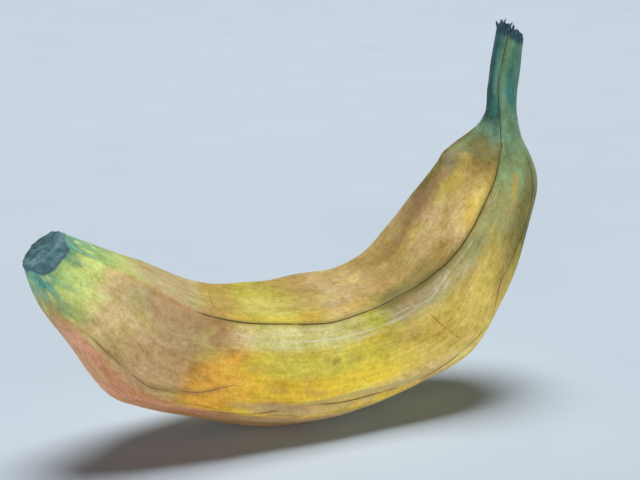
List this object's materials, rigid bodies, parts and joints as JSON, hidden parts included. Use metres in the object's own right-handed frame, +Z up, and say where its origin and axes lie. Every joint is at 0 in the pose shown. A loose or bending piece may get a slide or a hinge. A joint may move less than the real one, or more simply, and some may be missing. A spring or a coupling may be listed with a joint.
{
  "type": "banana",
  "caption": "Curved ridged fruit with a slim torn stem and a blunt dry tip, resting on its outer curve with both ends up.",
  "frame": {"origin": "centre of the bounding box, on the surface the fruit rests on", "axes": "+Z up; the bend lies in the XZ plane, with the blossom end towards -X and the stem rising towards +X; -Y is the side that faces the viewer"},
  "size_m": [0.1596, 0.0446, 0.1129],
  "materials": {
    "skin": "waxy ripe skin, yellow with tan and brown patches, green towards both ends, dark and dry at the tips"
  },
  "bodies": {
    "root": {"banana": "skin"}
  },
  "joints": []
}
